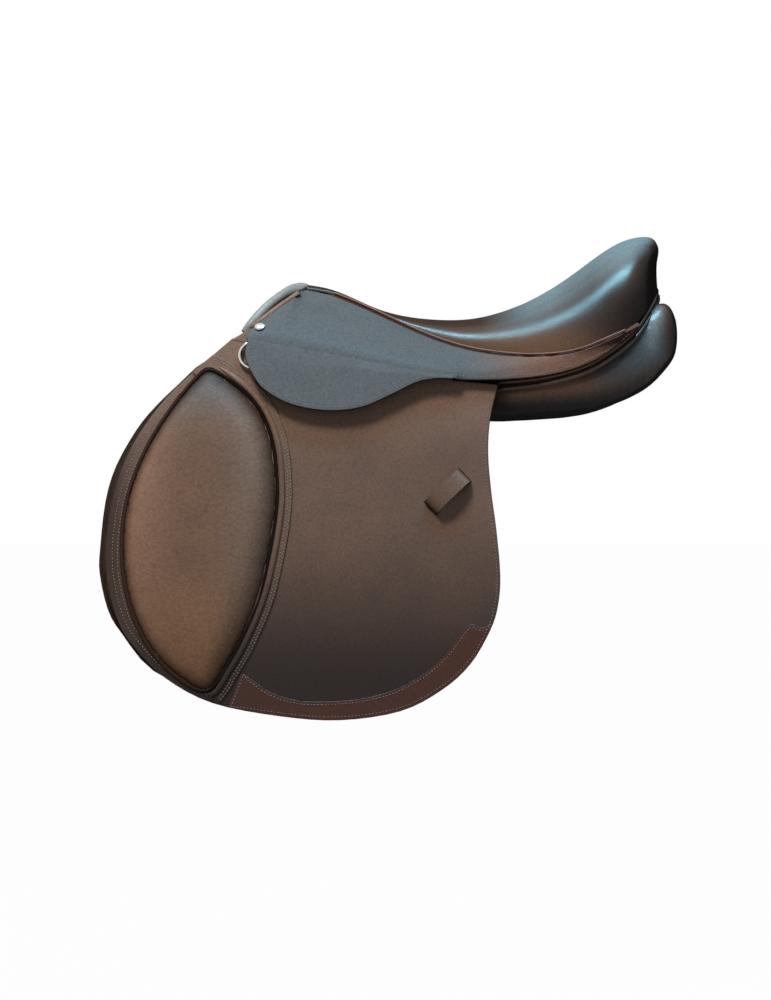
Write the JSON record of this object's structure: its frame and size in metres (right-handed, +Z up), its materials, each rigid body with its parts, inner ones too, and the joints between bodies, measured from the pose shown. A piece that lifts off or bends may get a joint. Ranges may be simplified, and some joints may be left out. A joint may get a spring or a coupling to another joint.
{
  "type": "jumping saddle",
  "caption": "English jumping saddle with a dipped seat, forward flaps with knee pads, lifting skirts over stirrup bars, girth billets and dee rings.",
  "frame": {"origin": "on the centre plane below the dip of the seat, level with the lower edge of the panels on the horse's back", "axes": "+X from the pommel to the cantle, -Y to the near side, +Z up"},
  "size_m": [0.6177, 0.325, 0.5185],
  "materials": {
    "leather": "smooth waxed dark brown",
    "pad_leather": "soft grained brown",
    "guard_leather": "smooth red brown",
    "tan_leather": "smooth orange tan",
    "lining": "soft matt dark brown",
    "steel": "forged",
    "nickel": "polished nickel",
    "beech": "laminated and varnished",
    "foam": "cut foam",
    "canvas": "woven"
  },
  "bodies": {
    "saddle": {"bar_rivets": "steel", "billet_pins": "nickel", "cantle_binding": "leather", "catch_pins": "nickel", "front_facing": "leather", "girth_web_left": "canvas", "girth_web_right": "canvas", "gullet_plate": "steel", "head_plate": "steel", "head_rivets": "steel", "knee_block_left": "pad_leather", "knee_block_right": "pad_leather", "panel_left": "lining", "panel_right": "lining", "panel_welt": "leather", "pommel_binding_left": "tan_leather", "pommel_binding_right": "tan_leather", "pommel_roll": "leather", "saddle_nails": "nickel", "seat_canvas": "canvas", "seat_cover": "leather", "seat_foam": "foam", "seat_web": "canvas", "seat_welt_left": "tan_leather", "seat_welt_right": "tan_leather", "skirt_left": "leather", "skirt_right": "leather", "spring_left": "steel", "spring_right": "steel", "stirrup_bar_left": "steel", "stirrup_bar_right": "steel", "sweat_flap_left": "lining", "sweat_flap_right": "lining", "tree_frame": "beech", "tree_head": "beech"},
    "flap_left": {"flap_left": "leather", "knee_pad_left": "pad_leather", "pad_edging_left": "leather", "flap_guard_left": "guard_leather", "keeper_left": "leather", "dee_chape_left": "leather"},
    "lobe_left": {"skirt_lobe_left": "leather"},
    "dee_ring_left": {"dee_left": "nickel"},
    "catch_left": {"bar_catch_left": "steel"},
    "billet_front_left_strap": {"billet_front_left": "leather"},
    "billet_middle_left_strap": {"billet_middle_left": "leather"},
    "billet_rear_left_strap": {"billet_rear_left": "leather"},
    "flap_right": {"flap_right": "leather", "knee_pad_right": "pad_leather", "pad_edging_right": "leather", "flap_guard_right": "guard_leather", "keeper_right": "leather", "dee_chape_right": "leather"},
    "lobe_right": {"skirt_lobe_right": "leather"},
    "dee_ring_right": {"dee_right": "nickel"},
    "catch_right": {"bar_catch_right": "steel"},
    "billet_front_right_strap": {"billet_front_right": "leather"},
    "billet_middle_right_strap": {"billet_middle_right": "leather"},
    "billet_rear_right_strap": {"billet_rear_right": "leather"}
  },
  "joints": [
    {"name": "flap_lift_left", "type": "hinge", "parent": "saddle", "child": "flap_left", "pos_m": [-0.223, -0.11781, 0.07715], "axis": [-0.9823, 0.0261, 0.1857], "range_deg": [0, 75]},
    {"name": "skirt_lift_left", "type": "hinge", "parent": "flap_left", "child": "lobe_left", "pos_m": [-0.223, -0.11781, 0.07715], "axis": [-0.9823, 0.0261, 0.1857], "range_deg": [0, 55]},
    {"name": "dee_swing_left", "type": "hinge", "parent": "flap_left", "child": "dee_ring_left", "pos_m": [-0.218, -0.11088, 0.06001], "axis": [0, 0.1392, 0.9903], "range_deg": [0, 15]},
    {"name": "catch_turn_left", "type": "hinge", "parent": "saddle", "child": "catch_left", "pos_m": [-0.13967, -0.08671, 0.0764], "axis": [0, -0.8792, 0.4764], "range_deg": [0, 70]},
    {"name": "billet_front_swing_left", "type": "hinge", "parent": "saddle", "child": "billet_front_left_strap", "pos_m": [-0.125, -0.09849, 0.0199], "axis": [0, -0.9903, 0.1392], "range_deg": [-4, 4]},
    {"name": "billet_middle_swing_left", "type": "hinge", "parent": "saddle", "child": "billet_middle_left_strap", "pos_m": [-0.08, -0.10324, 0.02057], "axis": [0, -0.9903, 0.1392], "range_deg": [-4, 4]},
    {"name": "billet_rear_swing_left", "type": "hinge", "parent": "saddle", "child": "billet_rear_left_strap", "pos_m": [-0.035, -0.09849, 0.0199], "axis": [0, -0.9903, 0.1392], "range_deg": [-4, 4]},
    {"name": "flap_lift_right", "type": "hinge", "parent": "saddle", "child": "flap_right", "pos_m": [-0.223, 0.11781, 0.07715], "axis": [0.9823, 0.0261, -0.1857], "range_deg": [0, 75]},
    {"name": "skirt_lift_right", "type": "hinge", "parent": "flap_right", "child": "lobe_right", "pos_m": [-0.223, 0.11781, 0.07715], "axis": [0.9823, 0.0261, -0.1857], "range_deg": [0, 55]},
    {"name": "dee_swing_right", "type": "hinge", "parent": "flap_right", "child": "dee_ring_right", "pos_m": [-0.218, 0.11088, 0.06001], "axis": [0, 0.1392, -0.9903], "range_deg": [0, 15]},
    {"name": "catch_turn_right", "type": "hinge", "parent": "saddle", "child": "catch_right", "pos_m": [-0.13967, 0.08671, 0.0764], "axis": [0, -0.8792, -0.4764], "range_deg": [0, 70]},
    {"name": "billet_front_swing_right", "type": "hinge", "parent": "saddle", "child": "billet_front_right_strap", "pos_m": [-0.125, 0.09849, 0.0199], "axis": [0, -0.9903, -0.1392], "range_deg": [-4, 4]},
    {"name": "billet_middle_swing_right", "type": "hinge", "parent": "saddle", "child": "billet_middle_right_strap", "pos_m": [-0.08, 0.10324, 0.02057], "axis": [0, -0.9903, -0.1392], "range_deg": [-4, 4]},
    {"name": "billet_rear_swing_right", "type": "hinge", "parent": "saddle", "child": "billet_rear_right_strap", "pos_m": [-0.035, 0.09849, 0.0199], "axis": [0, -0.9903, -0.1392], "range_deg": [-4, 4]}
  ]
}
